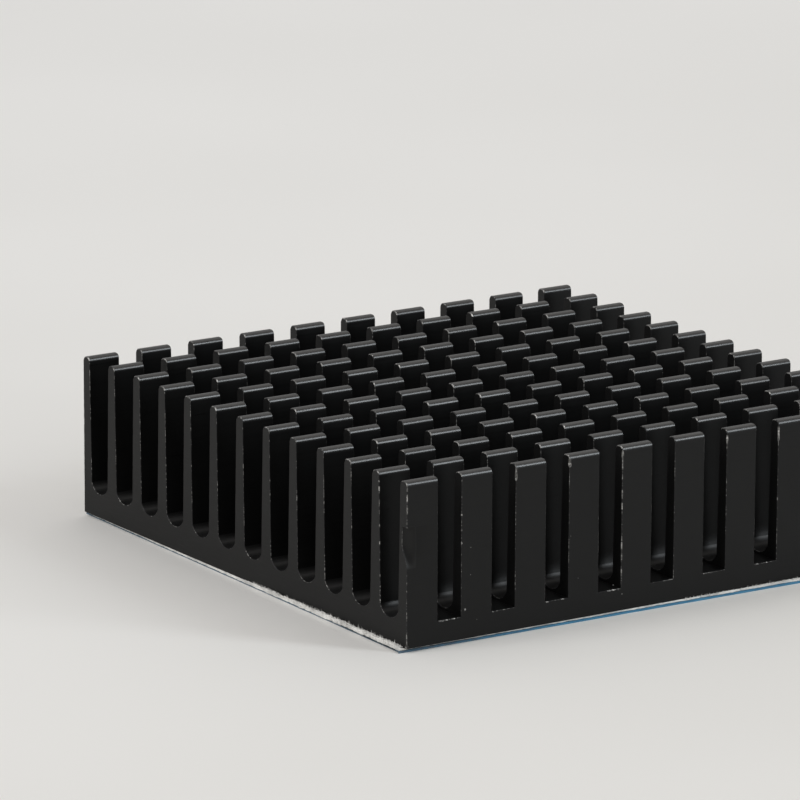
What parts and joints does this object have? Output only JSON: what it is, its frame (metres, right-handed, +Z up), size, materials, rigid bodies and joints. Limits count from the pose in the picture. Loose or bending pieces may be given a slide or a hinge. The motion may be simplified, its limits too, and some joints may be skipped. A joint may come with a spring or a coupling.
{
  "type": "pin fin heat sink",
  "caption": "Square black heat sink with rows of flat pins on a thin base, for cooling a flat chip package, with a square of thermal tape and its release liner underneath.",
  "frame": {"origin": "middle of the underside of the release liner, on which the part rests", "axes": "+Z up through the pins, Y along the extruded fins, X across the fins and along the saw cuts"},
  "size_m": [0.0408, 0.0408, 0.0113],
  "materials": {
    "anodised_aluminium": "black anodised, satin",
    "tape": "off-white fibrous adhesive tape, matte",
    "liner": "thin blue film"
  },
  "bodies": {
    "root": {"heat_sink": "anodised_aluminium", "thermal_tape": "tape", "release_liner": "liner"}
  },
  "joints": []
}
